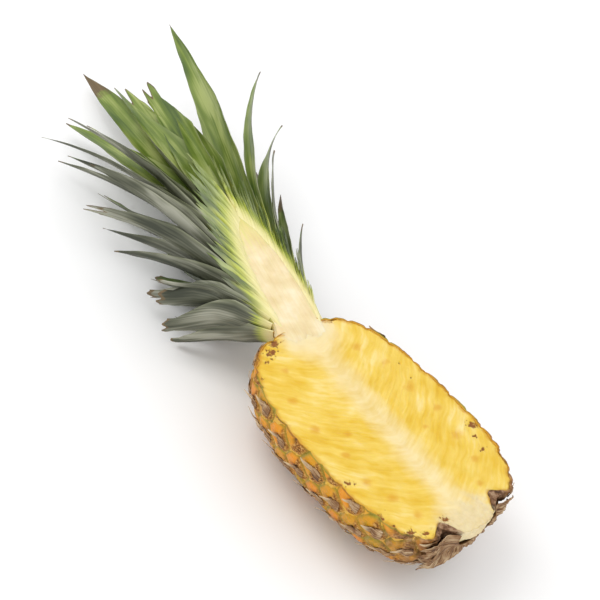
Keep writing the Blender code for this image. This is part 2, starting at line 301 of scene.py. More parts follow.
def skin(name, rings, fields, capped=True):
    """An object whose surface joins rings of points.

    rings has the shape (..., ring, point, 3): each ring is closed and each joins the next.
    When capped, quads between the first and second halves of the two end rings close them.
    Leading dimensions are separate closed bodies. fields are numbers for each point, kept as
    attributes for the materials. Points that coincide are merged, the faces are turned to
    look outwards, and edges over SHARP_ANGLE stay sharp.
    """
    rings = rings.reshape((-1, *rings.shape[-3:]))
    bodies, rows, count = rings.shape[:3]
    index = np.arange(bodies * rows * count).reshape(bodies, rows, count)
    ahead = np.roll(index, -1, axis=2)
    quads = np.stack([index[:, :-1], ahead[:, :-1], ahead[:, 1:], index[:, 1:]], axis=-1)
    faces = quads.reshape(-1, 4).tolist()
    if capped:
        front, back = np.arange(count // 2 - 1), np.arange(count - 1, count // 2, -1)
        zipped = np.stack([front, front + 1, back - 1, back], axis=-1)
        faces += index[:, [0, -1]][:, :, zipped].reshape(-1, 4).tolist()
    mesh = bpy.data.meshes.new(name)
    mesh.from_pydata(rings.reshape(-1, 3), [], faces)
    for field, values in fields.items():
        attribute = mesh.attributes.new(field, "FLOAT", "POINT")
        flat = np.broadcast_to(values, rings.shape[:3]) if np.ndim(values) < 3 else values
        attribute.data.foreach_set("value", np.ascontiguousarray(flat, np.float32).ravel())
    edit = bmesh.new()
    edit.from_mesh(mesh)
    bmesh.ops.remove_doubles(edit, verts=edit.verts, dist=WELD)
    bmesh.ops.recalc_face_normals(edit, faces=edit.faces)
    edit.to_mesh(mesh)
    edit.free()
    mesh.shade_smooth()
    mesh.set_sharp_from_angle(angle=SHARP_ANGLE)
    made = bpy.data.objects.new(name, mesh)
    bpy.context.scene.collection.objects.link(made)
    return made


def sheet_rings(middle, thickness, outward):
    """The closed rings of a thin sheet, given its middle surface as a grid of points.

    The two faces lie half the thickness to each side along the grid's normal. The first
    half of each ring is the inner face, and the second half, run backwards, the outer one,
    which is the side that outward points to.
    """
    down = np.gradient(middle, axis=-3)
    over = np.gradient(middle, axis=-2)
    normal = np.cross(down, over)
    normal /= np.linalg.norm(normal, axis=-1, keepdims=True) + 1e-15
    side = np.sign((normal * outward).sum(axis=(-3, -2, -1), keepdims=True))
    offset = normal * side * thickness[..., None] / 2.0
    return np.concatenate([middle - offset, (middle + offset)[..., ::-1, :]], axis=-2)


def both_faces(values):
    """A field of the middle surface, repeated for the two faces of a sheet."""
    return np.concatenate([values, values[..., ::-1]], axis=-1)


def outer_face(values):
    """1 on the outer face of a sheet and 0 on the inner one."""
    return np.concatenate([np.zeros_like(values), np.ones_like(values)], axis=-1)


def finish(piece, look, slot, *nodes):
    """Gives a piece its material, the body it rides on and the nodes it replaces; slot is not used."""
    piece.data.materials.append(look)
    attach(piece, "root")
    if nodes:
        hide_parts(*nodes)
    return piece


# ---------------------------------------------------------------- materials


def paint(code):
    """Linear colour of an sRGB hex code."""
    parts = [int(code[i:i + 2], 16) / 255.0 for i in (1, 3, 5)]
    return (*[p / 12.92 if p <= 0.04045 else ((p + 0.055) / 1.055) ** 2.4 for p in parts], 1.0)


COLOUR_MIX = {"data_type": "RGBA", "out": 2}


def add(tree, kind, inputs=None, stops=(), out=0, **settings):
    """Adds a node and gives one of its outputs.

    An input is a value, another node's output, an sRGB hex code or the name of a number kept
    on the mesh. Stops are a ramp's places and hex codes.
    """
    made = tree.nodes.new(kind)
    for name, value in settings.items():
        setattr(made, name, value)
    for socket, source in (inputs or {}).items():
        if isinstance(source, str) and not source.startswith("#"):
            source = add(tree, "ShaderNodeAttribute", out="Fac", attribute_name=source)
        if isinstance(source, bpy.types.NodeSocket):
            tree.links.new(source, made.inputs[socket])
        else:
            made.inputs[socket].default_value = paint(source) if isinstance(source, str) else source
    for number, (place, code) in enumerate(stops):
        elements = made.color_ramp.elements
        element = elements[number] if number < 2 else elements.new(place)
        element.position = place
        element.color = paint(code)
    return made.outputs[out]


def new_look(name, **shader):
    """A Principled material with constants on its own sockets; gives tree, shader, material."""
    made = bpy.data.materials.new(name)
    made.use_nodes = True
    principled = made.node_tree.nodes["Principled BSDF"]
    for socket, value in shader.items():
        principled.inputs[socket.replace("_", " ")].default_value = value
    return made.node_tree, principled, made


def stretched(tree, across, along, size, detail=3.0):
    """Streaky noise on two numbers of the mesh: one feature is size[0] by size[1] metres."""
    place = add(tree, "ShaderNodeCombineXYZ", {"X": across, "Y": along})
    scaled = add(tree, "ShaderNodeMapping",
                 {"Vector": place, "Scale": (1.0 / size[0], 1.0 / size[1], 1.0)})
    return add(tree, "ShaderNodeTexNoise", {"Vector": scaled, "Scale": 1.0, "Detail": detail})


def cloudy(tree, size, detail=3.0):
    """Noise on Object coordinates whose features are about size metres."""
    place = add(tree, "ShaderNodeTexCoord", out="Object")
    return add(tree, "ShaderNodeTexNoise",
               {"Vector": place, "Scale": 1.0 / size, "Detail": detail})


def coats(tree, colour, *layers):
    """A colour with others laid over it in turn, each as (mask, colour)."""
    for mask, over in layers:
        colour = add(tree, "ShaderNodeMix", {0: mask, 6: colour, 7: over}, **COLOUR_MIX)
    return colour


def ragged(tree, mask, noise, amount, low, high):
    """A mask with a ragged border: mask + amount * (noise - 0.5), from 0 at low to 1 at high."""
    moved = add(tree, "ShaderNodeMath", {0: noise, 1: amount, 2: mask}, operation="MULTIPLY_ADD")
    return add(tree, "ShaderNodeMapRange", {
        "Value": moved, "From Min": low + 0.5 * amount, "From Max": high + 0.5 * amount})


def flesh_look():
    """Ripe pineapple flesh, knife-cut: wet translucent fibres fanning from a paler core.

    Strands are 3 mm across and bundles 7 mm, coarser than real fibres so that they show. The
    sugar under the cut deepens the yellow in clouds of 20 mm.
    """
    tree, shader, made = new_look(
        "pineapple_flesh_cut", Roughness=0.38, IOR=1.36, Subsurface_Weight=0.35,
        Subsurface_Radius=(1.0, 0.8, 0.35), Subsurface_Scale=0.003)
    strands = stretched(tree, "fibre_run", "fibre_off", (0.0028, 0.012), 2.0)
    bundles = stretched(tree, "fibre_run", "fibre_off", (0.0075, 0.019), 2.0)
    clouds = cloudy(tree, 0.020)
    fibres = add(tree, "ShaderNodeMix", {0: 0.60, 2: strands, 3: bundles})
    tone = add(tree, "ShaderNodeMix", {0: 0.40, 2: fibres, 3: clouds})
    pulp = add(tree, "ShaderNodeValToRGB", {"Fac": tone}, stops=(
        (0.29, "#d8a61c"), (0.42, "#e1ba3a"), (0.53, "#e9c95c"), (0.69, "#f2dd96")))
    core = add(tree, "ShaderNodeValToRGB", {"Fac": tone}, stops=(
        (0.38, "#e2c67a"), (0.60, "#efdca6")))
    edge = add(tree, "ShaderNodeMath", {0: "edge", 1: 0.60}, operation="MULTIPLY")
    pit = add(tree, "ShaderNodeMath", {0: "pit", 1: cloudy(tree, 0.0024)}, operation="MULTIPLY")
    pit = add(tree, "ShaderNodeMapRange", {"Value": pit, "From Min": 0.20, "From Max": 0.42})
    colour = coats(
        tree, pulp, ("blush", "#d79a22"), (ragged(tree, "core", tone, 1.1, 0.05, 1.0), core),
        ("pith", coats(tree, "#e2cb92", (clouds, "#f0e2ba"))),
        ("stub", coats(tree, "#d8c28c", (cloudy(tree, 0.004), "#eadab0"))),
        (edge, "#c98d1c"), (pit, coats(tree, "#6a3c14", (cloudy(tree, 0.0012), "#a8692a"))))
    tree.links.new(colour, shader.inputs["Base Color"])
    bump = add(tree, "ShaderNodeBump", {"Height": tone, "Strength": 0.28, "Distance": 0.0012})
    tree.links.new(bump, shader.inputs["Normal"])
    return made


def rind_look():
    """Ripe rind: glossy orange domes, olive seams and near-black eye slits deepened by painted shade,
    papery brown lower halves, dry at the base.

    Its grain is 2 mm and the paper's wrinkles are 1 mm. The seams green and fade over 30 mm.
    """
    tree, shader, made = new_look("pineapple_rind_ripe", Specular_IOR_Level=0.30)
    grain = cloudy(tree, 0.0022, 4.0)
    drift = cloudy(tree, 0.030, 1.0)
    wrinkles = cloudy(tree, 0.0012)
    dome = add(tree, "ShaderNodeMix", {0: 0.45, 2: "eye_tone", 3: grain})
    dome = add(tree, "ShaderNodeValToRGB", {"Fac": dome}, stops=(
        (0.20, "#8a7a12"), (0.38, "#c48c10"), (0.56, "#dc8e0c"), (0.80, "#cc6c08")))
    # The seams' olive green, dark partly as painted shade in the grooves between the eyes; the rind's
    # cut edge greens with it as well.
    green = coats(tree, "#6d6a1a", (grain, "#a39a2a"))
    seam = add(tree, "ShaderNodeMapRange", {
        "Value": drift, "From Min": 0.36, "From Max": 0.56, "To Min": 0.25})
    seam = add(tree, "ShaderNodeMath", {0: "seam", 1: seam}, operation="MULTIPLY")
    paper = add(tree, "ShaderNodeValToRGB", {"Fac": wrinkles}, stops=(
        (0.34, "#4a270c"), (0.45, "#86511a"), (0.56, "#ad7a34"), (0.70, "#caa668")))
    husk = add(tree, "ShaderNodeValToRGB", {"Fac": cloudy(tree, 0.0030, 4.0)}, stops=(
        (0.34, "#3d2818"), (0.50, "#765338"), (0.66, "#a5876a")))
    greening = add(tree, "ShaderNodeMapRange", {
        "Value": drift, "From Min": 0.42, "From Max": 0.58})
    skin_edge = coats(tree, "#6e4212", (grain, "#a96c18"), (greening, green))
    inward = add(tree, "ShaderNodeMapRange", {"Value": "depth", "From Min": 0.35})
    rim = coats(tree, skin_edge, (inward, coats(tree, "#c98d1c", (grain, "#e2b040"))),
                ("dry", husk))
    # The slits' near black is the dried flower's own brown, deepened as painted shade in the pit of
    # each eye.
    colour = coats(
        tree, dome, (seam, green), ("papery", paper), ("dry", husk), ("slit", "#2e1a0c"),
        ("on_cut", rim), ("stub", coats(tree, "#d9c290", (cloudy(tree, 0.004), "#f1e4bd"))))
    tree.links.new(colour, shader.inputs["Base Color"])
    dull = add(tree, "ShaderNodeMath", {0: "papery", 1: "dry"}, operation="MAXIMUM")
    rough = add(tree, "ShaderNodeMapRange", {"Value": dull, "To Min": 0.34, "To Max": 0.78})
    tree.links.new(rough, shader.inputs["Roughness"])
    bump = add(tree, "ShaderNodeBump", {"Height": wrinkles, "Strength": 0.5, "Distance": 0.0008})
    tree.links.new(bump, shader.inputs["Normal"])
    return made


def bract_look():
    """Dried bract: thin grey-brown paper with long fibres, paler at its edges and its tip.

    Fibres are 1 mm by 12 mm, coarser than real ones so that they show.
    """
    tree, shader, made = new_look("pineapple_bract_dry", Roughness=0.72, IOR=1.45)
    fibres = stretched(tree, "across", "along", (0.0009, 0.012), 4.0)
    tone = add(tree, "ShaderNodeMix", {0: 0.40, 2: fibres, 3: cloudy(tree, 0.006)})
    body = add(tree, "ShaderNodeValToRGB", {"Fac": tone}, stops=(
        (0.35, "#3c2210"), (0.46, "#7c5530"), (0.55, "#a68660"), (0.67, "#d2bd9c")))
    tree.links.new(coats(tree, body, ("pale", "#d3bd98")), shader.inputs["Base Color"])
    bump = add(tree, "ShaderNodeBump", {"Height": fibres, "Strength": 0.6, "Distance": 0.0006})
    tree.links.new(bump, shader.inputs["Normal"])
    return made


def stem_look():
    """Crown stem sliced lengthwise: dense cream pith, streaks of leaf traces at its sides.

    Leaf traces are 1.4 mm by 40 mm, and the pith is mottled over 14 mm.
    """
    tree, shader, made = new_look(
        "pineapple_stem_pith_cut", Roughness=0.50, IOR=1.40, Subsurface_Weight=0.25,
        Subsurface_Radius=(1.0, 0.7, 0.3), Subsurface_Scale=0.003)
    streaks = stretched(tree, "across", "along", (0.0014, 0.040))
    tone = add(tree, "ShaderNodeMix", {0: 0.75, 2: streaks, 3: cloudy(tree, 0.014)})
    pith = add(tree, "ShaderNodeValToRGB", {"Fac": tone}, stops=(
        (0.32, "#dcc490"), (0.50, "#e8d5a8"), (0.68, "#f2e6c8")))
    colour = coats(
        tree, pith,
        (ragged(tree, "high", streaks, 1.6, 0.15, 0.80), coats(tree, "#d2bf5c", (streaks, "#ece2a4"))),
        (ragged(tree, "verge", streaks, 1.6, 0.35, 0.95), coats(tree, "#b3b750", (streaks, "#e0dc96"))))
    tree.links.new(colour, shader.inputs["Base Color"])
    bump = add(tree, "ShaderNodeBump", {"Height": streaks, "Strength": 0.25, "Distance": 0.0006})
    tree.links.new(bump, shader.inputs["Normal"])
    return made


def leaf_look():
    """Crown leaf: waxy green channel above, grey bloom beneath, yellow-white foot, brown tip.

    Ribs are 1.2 mm apart, coarser than the real 0.5 mm so that they show, and its colour drifts
    in bands of 9 mm by 45 mm. Older leaves are greyer, and the thin margins are pale.
    """
    tree, shader, made = new_look("pineapple_leaf_waxy", IOR=1.47)
    ribs = stretched(tree, "across", "along", (0.0012, 0.110), 2.0)
    bands = stretched(tree, "across", "along", (0.009, 0.045), 2.0)
    tone = add(tree, "ShaderNodeMix", {0: 0.70, 2: ribs, 3: bands})
    fresh = add(tree, "ShaderNodeValToRGB", {"Fac": tone}, stops=(
        (0.36, "#486020"), (0.50, "#738636"), (0.63, "#a3ae66")))
    old = add(tree, "ShaderNodeValToRGB", {"Fac": tone}, stops=(
        (0.38, "#323c24"), (0.50, "#5d6846"), (0.61, "#979e80")))
    beneath = add(tree, "ShaderNodeValToRGB", {"Fac": tone}, stops=(
        (0.38, "#303424"), (0.50, "#5e604e"), (0.61, "#9a9a8a")))
    margin = add(tree, "ShaderNodeMath", {0: "margin", 1: 0.55}, operation="MULTIPLY")
    whitest = add(tree, "ShaderNodeMapRange", {"Value": "pale", "From Min": 0.55})
    foot = coats(tree, "#829c22", (ribs, "#d2d35c"),
                 (whitest, coats(tree, "#dccf84", (ribs, "#f4eabc"))))
    colour = coats(
        tree, fresh, ("age", old), ("under", beneath),
        (margin, coats(tree, "#8f9668", (ribs, "#c6c9a6"))),
        (ragged(tree, "pale", ribs, 1.3, 0.25, 0.70), foot),
        (ragged(tree, "brown", cloudy(tree, 0.004), 1.0, 0.35, 0.70),
         coats(tree, "#3d2e1c", (ribs, "#84704c"))))
    tree.links.new(colour, shader.inputs["Base Color"])
    rough = add(tree, "ShaderNodeMapRange", {"Value": "under", "To Min": 0.28, "To Max": 0.48})
    tree.links.new(rough, shader.inputs["Roughness"])
    bump = add(tree, "ShaderNodeBump", {"Height": ribs, "Strength": 0.30, "Distance": 0.0005})
    tree.links.new(bump, shader.inputs["Normal"])
    return made


def floor_look():
    """Studio paper sweep: matt, near white."""
    tree, shader, made = new_look("studio_paper_white", Roughness=0.9)
    colour = coats(tree, "#f6f6f6", (cloudy(tree, 0.4, 1.0), "#fafafa"))
    tree.links.new(colour, shader.inputs["Base Color"])
    return made


# ---------------------------------------------------------------- the fruit


def rind_thickness(points, height):
    """How thick the rind is under points of its outer skin, which lie height over the barrel.

    It is 0.8 to 2.2 mm at the tops of the eyes and thinner by 0.6 of the depth of a seam. A
    bell-shaped ring of dried husks round the stub adds 5 mm, and it thins out to almost
    nothing over the stub and under the crown stem, where the core comes out.
    """
    r = np.hypot(points[..., 1], points[..., 2] - CUT_HEIGHT)
    base = smooth(60.0 * MM, 72.0 * MM, points[..., 0])
    crown = smooth(-60.0 * MM, -70.0 * MM, points[..., 0])
    wall = (1.5 + 0.7 * ripple(points, 11.0 * MM, 3)) * MM + 0.6 * height
    wall += base * 5.0 * MM * bell(r - 23.0 * MM, 6.0 * MM)
    wall *= 1.0 - base * smooth(16.0 * MM, 12.5 * MM, r)
    wall *= 1.0 - crown * smooth(19.0 * MM, 13.0 * MM, np.hypot(
        points[..., 1] - 6.0 * MM, points[..., 2] - CUT_HEIGHT))
    return np.maximum(wall, 0.05 * MM)


def rind_surfaces(angle, turn):
    """Outer and inner skin of the rind at each angle and turn."""
    height = skin_height(angle, turn)
    outer = base_shift(barrel(angle, turn, height))
    wall = rind_thickness(outer, height)
    inner = base_shift(barrel(angle, turn, height - wall))
    return outer, inner


def build_rind(look):
    """The rind: a bowl whose outer skin carries the eyes, closed over its rim by an inner skin.

    Rings run round the long axis from the base pole to the crown pole: the outer skin, two
    points across the far rim, the inner skin back, and two points across the near rim.
    """
    rows, outer_columns, inner_columns = 300, 250, 24
    across_rim = np.array([0.34, 0.67])
    angle = np.interp(np.linspace(0.0, FINE_ARC[-1], rows), FINE_ARC, FINE_ANGLE)[:, None]
    out_turn = np.linspace(math.pi, 2.0 * math.pi, outer_columns)[None, :]
    in_turn = np.linspace(2.0 * math.pi, math.pi, inner_columns)[None, :]
    outer, _ = rind_surfaces(angle, out_turn)
    _, inner = rind_surfaces(angle, in_turn)
    step = across_rim[None, :, None]
    far = outer[:, -1:] * (1.0 - step) + inner[:, :1] * step
    near = inner[:, -1:] * (1.0 - step) + outer[:, :1] * step
    rings = np.concatenate([outer, far, inner, near], axis=1)
    rings[..., 2] = np.maximum(rings[..., 2], FLOOR_SKIN)

    number, _, lead, ahead, around = eyes(angle, out_turn)
    x = outer[..., 0]
    r = np.hypot(outer[..., 1], outer[..., 2] - CUT_HEIGHT)
    tone = np.random.default_rng(5).uniform(0.15, 0.85, EYE_COUNT)[number]
    # seam and slit mark the grooves between eyes and the pit in each eye; their dark colours are partly
    # painted shade.
    seam = bell(lead, 2.6 * MM)
    rough = ripple(outer, 7.0 * MM, 21)
    papery = smooth(0.8 * MM, -1.6 * MM, ahead + 1.2 * MM * rough) * (1.0 - 0.8 * seam)
    slit = np.exp(-((ahead / (1.1 * MM)) ** 2) - (around / (2.3 * MM)) ** 2)
    dry = smooth(40.0 * MM, 78.0 * MM, x + 12.0 * MM * rough) * 0.75
    dry = np.maximum(dry, smooth(66.0 * MM, 72.0 * MM, x) * smooth(36.0 * MM, 30.0 * MM, r))
    stub = smooth(70.0 * MM, 74.0 * MM, x) * smooth(16.5 * MM, 14.0 * MM, r + 1.5 * MM * rough)

    def around_ring(values):
        """The outer skin's field, its rim values carried on over the rim and the inner skin."""
        last = np.repeat(values[:, -1:], 2 + inner_columns // 2, axis=1)
        first = np.repeat(values[:, :1], 2 + inner_columns - inner_columns // 2, axis=1)
        return np.concatenate([values, last, first], axis=1)

    depth = np.zeros(rings.shape[:2])
    depth[:, outer_columns:] = 1.0
    depth[:, outer_columns:outer_columns + 2] = across_rim
    depth[:, -2:] = across_rim[::-1]
    on_cut = (depth > 0.0).astype(float)
    on_cut[:, [0, outer_columns - 1]] = 0.6
    fields = {"eye_tone": tone, "seam": seam, "papery": papery, "slit": slit, "dry": dry,
              "stub": stub}
    fields = {name: around_ring(values)[None] for name, values in fields.items()}
    fields |= {"depth": depth[None], "on_cut": on_cut[None]}
    piece = skin("rind", rings, fields, capped=False)
    return finish(piece, look, "rind", "fruit_half")


def cut_outline(directions):
    """Distance from the middle of the cut face to the rind's inner edge, by direction."""
    rows = 900
    angle = np.interp(np.linspace(0.0, FINE_ARC[-1], rows), FINE_ARC, FINE_ANGLE)
    edges = []
    for turn in (math.pi, 2.0 * math.pi):
        edges.append(rind_surfaces(angle, np.full(rows, turn))[1])
    edge = np.concatenate([edges[0], edges[1][::-1]])[:, :2]
    heading = np.arctan2(edge[:, 1], edge[:, 0])
    order = np.argsort(heading)
    reach = np.hypot(edge[:, 0], edge[:, 1])[order]
    return np.interp(directions, heading[order], reach, period=2.0 * math.pi)


def face_fields(x, y, inset):
    """What the cut flesh is like at each place: core, fibres, edge, stub, pits and blushes.

    Fibres leave the core line at an angle and bend towards the crown, so a fibre is the set
    of points with one value of run = x + offset * (0.35 + 0.006 per mm of offset).
    """
    place = np.stack([x, y, np.zeros_like(x)], axis=-1)
    offset = np.abs(y - (CORE_OFFSET + CORE_SLOPE * x)) + 2.0 * MM * ripple(place, 30.0 * MM, 31)
    offset = np.maximum(offset, 0.0)
    run = x + offset * (0.35 + 6.0 * offset)
    width = (8.5 + 9.0 * smooth(50.0 * MM, 70.0 * MM, x)
             + 9.0 * smooth(-40.0 * MM, -76.0 * MM, x)) * MM
    core = smooth(1.9, 0.05, offset / width)
    pith = smooth(-52.0 * MM, -76.0 * MM, x) * smooth(1.5, 0.7, offset / width)
    uneven = ripple(place, 9.0 * MM, 33)
    rough = ripple(place, 2.4 * MM, 35)
    stub = smooth(58.0 * MM, 70.0 * MM, x + 3.0 * MM * uneven) * smooth(
        21.0 * MM, 17.0 * MM, np.abs(y + 4.0 * MM) + 2.0 * MM * uneven)
    edge = smooth(2.6 * MM, 0.0, inset + 1.0 * MM * uneven) * (1.0 - stub)
    pit = np.zeros_like(x)
    for pit_x, pit_y, size in PITS:
        away = np.hypot((x - pit_x * MM) * 1.4, y - pit_y * MM) * (1.0 + 0.6 * rough)
        pit = np.maximum(pit, smooth(1.25, 0.35, away / (size * MM)))
    blush = np.zeros_like(x)
    for blush_x, blush_y, size in BLUSHES:
        away = np.hypot((x - blush_x * MM) * 1.3, y - blush_y * MM) + 1.2 * MM * uneven
        blush = np.maximum(blush, 0.65 * smooth(1.2, 0.1, away / (size * MM)))
    return {"fibre_run": run, "fibre_off": offset, "core": core, "pith": pith, "stub": stub,
            "edge": edge, "pit": pit, "blush": blush}


def build_flesh(look):
    """The flesh: rings spread from the middle of the cut face to the rind's inner edge, then
    turn down and back to the middle underneath, as a bowl whose depth follows a sine.

    The face is uneven by sine waves: fine ones along the fibres, broad ones over 12 mm and
    rough ones on the stub. Pits sink into it, and it rounds down at its edge.
    """
    top, under, count = 124, 12, 560
    heading = np.linspace(-math.pi, math.pi, count, endpoint=False)[None, :]
    reach = cut_outline(heading) - 0.06 * MM
    share = 1.0 - (1.0 - np.linspace(0.0, 1.0, top)) ** 1.12
    over = share[:, None] * reach
    x, y = over * np.cos(heading), over * np.sin(heading)
    inset = reach - over
    fields = face_fields(x, y, inset)
    place = np.stack([x, y, np.zeros_like(x)], axis=-1)
    fibres = np.stack([fields["fibre_run"] / 2.2, fields["fibre_off"] / 18.0,
                       np.zeros_like(x)], axis=-1)
    relief = 0.16 * MM * ripple(fibres, 1.0 * MM, 41) * (1.0 - 0.6 * fields["core"])
    relief += 0.20 * MM * ripple(place, 12.0 * MM, 43)
    relief += 0.35 * MM * fields["stub"] * ripple(place, 3.5 * MM, 47)
    relief -= 0.9 * MM * fields["pit"]
    relief -= 0.35 * MM * smooth(1.0 * MM, 0.0, inset)
    z = CUT_HEIGHT - 0.25 * MM + relief
    face = np.stack([x, y, z], axis=-1)

    fall = np.linspace(0.0, math.pi / 2.0, under + 1)[1:, None]
    bowl = np.stack([x[-1] * np.cos(fall) ** 0.75, y[-1] * np.cos(fall) ** 0.75,
                     z[-1] - 0.80 * RADIUS * np.sin(fall)], axis=-1)
    bowl[-1, :, :2] = 0.0
    rings = np.concatenate([face, bowl])
    fields = {name: np.concatenate([values, np.repeat(values[-1:], under, axis=0)])[None]
              for name, values in fields.items()}
    piece = skin("flesh", rings, fields, capped=False)
    return finish(piece, look, "flesh", "fruit_half")


def build_rind_bracts(look):
    """A papery bract over the lower half of every eye, ending in a thin spine to the crown.

    Each is a small sheet laid on the skin: it starts 6.5 mm on the base side of the eye's
    centre, narrows with the power 1.25 of what is left of its length, and lifts off with the
    cube of its length.
    """
    rows, columns = 11, 5
    draw = np.random.default_rng(17)
    below_cut = EYE_CENTRE[:, 2] < CUT_HEIGHT - 2.0 * MM
    clear_of_crown = EYE_SHARE > -0.965
    pick = np.flatnonzero(below_cut & clear_of_crown)
    count = len(pick)
    length = draw.uniform(11.0, 16.0, (count, 1, 1)) * MM
    half = draw.uniform(4.2, 6.2, (count, 1, 1)) * MM
    swing = draw.uniform(-0.22, 0.22, (count, 1, 1))
    rise = draw.uniform(0.8, 3.4, (count, 1, 1)) * MM
    share = np.linspace(0.0, 1.0, rows)[None, :, None]
    q = np.linspace(-1.0, 1.0, columns)[None, None, :]
    width = half * (0.06 + 0.94 * (1.0 - share) ** 1.25) * smooth(-0.25, 0.2, share)
    arc = EYE_ARC[pick][:, None, None] - 6.5 * MM + length * share + 0.0 * q
    angle = np.interp(np.clip(arc, 0.0, FINE_ARC[-1]), FINE_ARC, FINE_ANGLE)
    r = np.maximum(barrel(angle, 0.0)[..., 1], 8.0 * MM)
    side = width * q + swing * length * share
    turn = EYE_TURN[pick][:, None, None] + side / r
    turn = np.mod(turn, 2.0 * math.pi)
    grid = barrel(angle, turn)
    crumple = ripple(grid, 5.0 * MM, 51)
    lift = skin_height(angle, turn) + 0.45 * MM + rise * share**3
    lift += (0.5 * crumple + 0.5 * (1.0 - q**2)) * MM * smooth(0.0, 0.3, share) * (1.0 - share)
    middle = base_shift(barrel(angle, turn, lift))
    middle[..., 2] = np.maximum(middle[..., 2], 0.4 * MM)
    middle[..., 2] = np.minimum(middle[..., 2], CUT_HEIGHT + 0.6 * MM)
    outward = grid - np.array([0.0, 0.0, CUT_HEIGHT])
    outward[..., 0] *= 0.3
    thickness = np.broadcast_to(0.35 * MM * (1.0 - 0.5 * share), grid.shape[:-1])
    rings = sheet_rings(middle, thickness, outward)
    full = np.zeros(grid.shape[:-1])
    jitter = np.arange(count)[:, None, None] * 0.05
    fields = {"along": both_faces(full + length * share + jitter),
              "across": both_faces(full + width * q),
              "pale": both_faces(full + smooth(0.45, 0.9, share) * 0.75)}
    piece = skin("rind_bracts", rings, fields)
    return finish(piece, look, "dry_bract")


def build_base_bracts(look):
    """The dry bracts folded back round the stub: ribbed, crumpled sheets with ragged ends.

    A bract's width swells and shrinks as a sine of its length, ribs run along it as a cosine
    of its width, and each column ends at its own length, so the end is torn.
    """
    rows, columns = 46, 25
    for number, turn_deg in enumerate(BRACT_TURNS, start=1):
        draw = np.random.default_rng(60 + number)
        q = np.linspace(-1.0, 1.0, columns)[None, :]
        tear = 1.0 - 0.10 * (0.5 + 0.5 * np.cos(2.0 * math.pi * (1.5 * q + draw.uniform())))
        tear = tear - 0.10 * np.abs(q) + 0.05 * np.sin(9.0 * q + number)
        share = np.linspace(0.0, 1.0, rows)[:, None] * tear
        angle = BRACT_START + BRACT_REACH * share
        lift = (1.3 + 1.5 * share**2) * MM
        middle = barrel(angle, math.radians(turn_deg), lift)
        r = np.hypot(middle[..., 1], middle[..., 2] - CUT_HEIGHT)
        width = 1.15 * BRACT_WIDTH * (0.45 + 0.55 * np.sin(math.pi * (0.15 + 0.80 * share)))
        half_turn = np.minimum(0.5 * width / r, math.radians(20.0))
        turn = math.radians(turn_deg) + q * half_turn + 0.10 * np.sin(3.0 * share + number)
        turn = np.clip(turn, math.pi + 0.4 * MM / r, 2.0 * math.pi - 0.4 * MM / r)
        skin_points = barrel(angle, turn)
        fold = np.cos(math.pi * 2.0 * q) * 0.7 + 0.8 * ripple(skin_points, 9.0 * MM, 70 + number)
        fold = fold + 0.35 * np.cos(math.pi * 7.0 * q) + 0.5 * ripple(
            skin_points, 3.5 * MM, 80 + number)
        middle = base_shift(barrel(angle, turn, lift + 0.55 * MM * fold * smooth(0.0, 0.35, share)))
        middle[..., 2] = np.maximum(middle[..., 2], 0.6 * MM)
        outward = np.broadcast_to(np.array([1.0, 0.0, -0.3]), middle.shape)
        thickness = np.broadcast_to(0.5 * MM * (1.0 - 0.6 * share), middle.shape[:-1])
        rings = sheet_rings(middle, thickness, outward)
        fields = {"along": both_faces(0.03 * share + 0.1 * number)[None],
                  "across": both_faces(q * 0.5 * BRACT_WIDTH + 0.0 * share)[None],
                  "pale": both_faces(0.45 * smooth(0.86, 1.0, share / tear)
                                     * smooth(0.2, 1.0, np.abs(q)))[None]}
        piece = skin(f"base_bract_{number}_torn", rings, fields)
        finish(piece, look, "dry_bract", f"base_bract_{number}")


# ---------------------------------------------------------------- the crown


